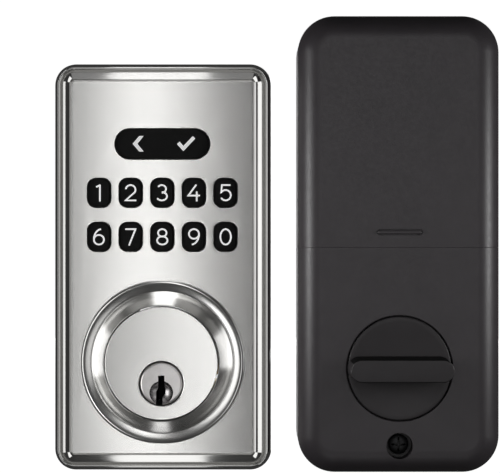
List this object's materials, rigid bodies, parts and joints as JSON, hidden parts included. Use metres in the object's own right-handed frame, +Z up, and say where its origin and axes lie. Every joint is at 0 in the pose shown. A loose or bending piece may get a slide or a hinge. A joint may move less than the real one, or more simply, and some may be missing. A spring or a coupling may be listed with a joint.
{
  "type": "keypad smart lock",
  "caption": "Keypad smart lock for a hinged door: exterior unit with digit keys and key cylinder, interior unit with thumbturn, gear train and battery cover.",
  "frame": {"origin": "centre of the exterior unit's rear face, in the plane of the door's face", "axes": "+X to the right of someone facing the units, +Y into the door, +Z up; both units face -Y and stand side by side"},
  "size_m": [0.1368, 0.1098, 0.1401],
  "materials": {
    "satin_nickel": "satin nickel, brushed along the height",
    "polished_nickel": "polished nickel",
    "black_key": "semi-gloss black moulding with pale legends",
    "black_housing": "satin black moulded plastic",
    "grey_silicone": "moulded silicone",
    "gasket_rubber": "black closed-cell rubber",
    "circuit_board": "green solder mask",
    "zinc_alloy": "die-cast zinc, as cast",
    "steel": "zinc-plated steel",
    "brass": "turned brass",
    "white_nylon": "natural nylon",
    "dark_plastic": "matt black engineering plastic",
    "cell_jacket": "printed metallic cell jacket"
  },
  "bodies": {
    "lock_body": {"exterior_housing": "polished_nickel", "face_plate": "satin_nickel", "keypad_membrane": "grey_silicone", "keypad_board": "circuit_board", "cylinder_ring": "polished_nickel", "cylinder_cap": "satin_nickel", "cylinder_shell": "zinc_alloy", "exterior_gasket": "gasket_rubber", "back_plate": "steel", "bolt_post_left": "brass", "bolt_post_right": "brass", "lower_cover": "black_housing", "cover_screw": "steel", "idler_axle": "steel", "motor": "steel", "gearbox_plate": "dark_plastic", "chassis": "dark_plastic", "mounting_plate": "steel", "through_bolt_left": "steel", "through_bolt_right": "steel", "chassis_screw_1": "steel", "chassis_screw_2": "steel", "main_board": "circuit_board", "cable_socket": "white_nylon", "position_switch": "dark_plastic", "buzzer": "dark_plastic", "back_plate_screw_1": "steel", "battery_1": "cell_jacket", "back_plate_screw_2": "steel", "battery_2": "cell_jacket", "back_plate_screw_3": "steel", "battery_3": "cell_jacket", "back_plate_screw_4": "steel", "battery_4": "cell_jacket", "battery_contact_1": "steel", "battery_contact_2": "steel", "battery_contact_3": "steel", "battery_contact_4": "steel", "battery_contact_5": "steel"},
    "plug": {"key_plug": "polished_nickel", "plug_clip": "steel", "tailpiece": "steel"},
    "thumbturn": {"thumbturn": "black_housing", "thumbturn_spindle": "zinc_alloy", "drive_gear": "white_nylon"},
    "idler": {"idler_gear": "white_nylon"},
    "pinion": {"motor_pinion": "brass"},
    "battery_cover": {"battery_cover": "black_housing"},
    "command_rocker": {"command_rocker": "black_key"},
    "key_1": {"key_1": "black_key"},
    "key_2": {"key_2": "black_key"},
    "key_3": {"key_3": "black_key"},
    "key_4": {"key_4": "black_key"},
    "key_5": {"key_5": "black_key"},
    "key_6": {"key_6": "black_key"},
    "key_7": {"key_7": "black_key"},
    "key_8": {"key_8": "black_key"},
    "key_9": {"key_9": "black_key"},
    "key_0": {"key_0": "black_key"}
  },
  "joints": [
    {"name": "key_1_press", "type": "slide", "parent": "lock_body", "child": "key_1", "axis": [0, 1, 0], "range_m": [0, 0.0008], "stiffness_N_per_m": 500, "springref_m": -0.0004},
    {"name": "key_2_press", "type": "slide", "parent": "lock_body", "child": "key_2", "axis": [0, 1, 0], "range_m": [0, 0.0008], "stiffness_N_per_m": 500, "springref_m": -0.0004},
    {"name": "key_3_press", "type": "slide", "parent": "lock_body", "child": "key_3", "axis": [0, 1, 0], "range_m": [0, 0.0008], "stiffness_N_per_m": 500, "springref_m": -0.0004},
    {"name": "key_4_press", "type": "slide", "parent": "lock_body", "child": "key_4", "axis": [0, 1, 0], "range_m": [0, 0.0008], "stiffness_N_per_m": 500, "springref_m": -0.0004},
    {"name": "key_5_press", "type": "slide", "parent": "lock_body", "child": "key_5", "axis": [0, 1, 0], "range_m": [0, 0.0008], "stiffness_N_per_m": 500, "springref_m": -0.0004},
    {"name": "key_6_press", "type": "slide", "parent": "lock_body", "child": "key_6", "axis": [0, 1, 0], "range_m": [0, 0.0008], "stiffness_N_per_m": 500, "springref_m": -0.0004},
    {"name": "key_7_press", "type": "slide", "parent": "lock_body", "child": "key_7", "axis": [0, 1, 0], "range_m": [0, 0.0008], "stiffness_N_per_m": 500, "springref_m": -0.0004},
    {"name": "key_8_press", "type": "slide", "parent": "lock_body", "child": "key_8", "axis": [0, 1, 0], "range_m": [0, 0.0008], "stiffness_N_per_m": 500, "springref_m": -0.0004},
    {"name": "key_9_press", "type": "slide", "parent": "lock_body", "child": "key_9", "axis": [0, 1, 0], "range_m": [0, 0.0008], "stiffness_N_per_m": 500, "springref_m": -0.0004},
    {"name": "key_0_press", "type": "slide", "parent": "lock_body", "child": "key_0", "axis": [0, 1, 0], "range_m": [0, 0.0008], "stiffness_N_per_m": 500, "springref_m": -0.0004},
    {"name": "command_rocker_tilt", "type": "hinge", "parent": "lock_body", "child": "command_rocker", "pos_m": [0, -0.0171, 0.0381], "axis": [0, 0, 1], "range_deg": [-2, 2], "stiffness_Nm_per_rad": 0.6},
    {"name": "plug_turn", "type": "hinge", "parent": "lock_body", "child": "plug", "pos_m": [0, -0.0285, -0.0354], "axis": [0, 1, 0], "range_deg": [-90, 90]},
    {"name": "thumbturn_turn", "type": "hinge", "parent": "lock_body", "child": "thumbturn", "pos_m": [0.0724, -0.033, -0.0305], "axis": [0, 1, 0], "range_deg": [-90, 90]},
    {"name": "idler_turn", "type": "hinge", "parent": "lock_body", "child": "idler", "pos_m": [0.0724, -0.01, -0.0137], "axis": [0, 1, 0], "range_deg": [-288, 288]},
    {"name": "pinion_turn", "type": "hinge", "parent": "lock_body", "child": "pinion", "pos_m": [0.08418, -0.012, -0.0069], "axis": [0, 1, 0], "range_deg": [-691.2, 691.2]},
    {"name": "battery_cover_slide", "type": "slide", "parent": "lock_body", "child": "battery_cover", "axis": [0, 0, 1], "range_m": [0, 0.075]}
  ],
  "couplings": [
    {"joint": "idler_turn", "follows": "thumbturn_turn", "ratio": -3.2},
    {"joint": "pinion_turn", "follows": "thumbturn_turn", "ratio": 7.68}
  ]
}
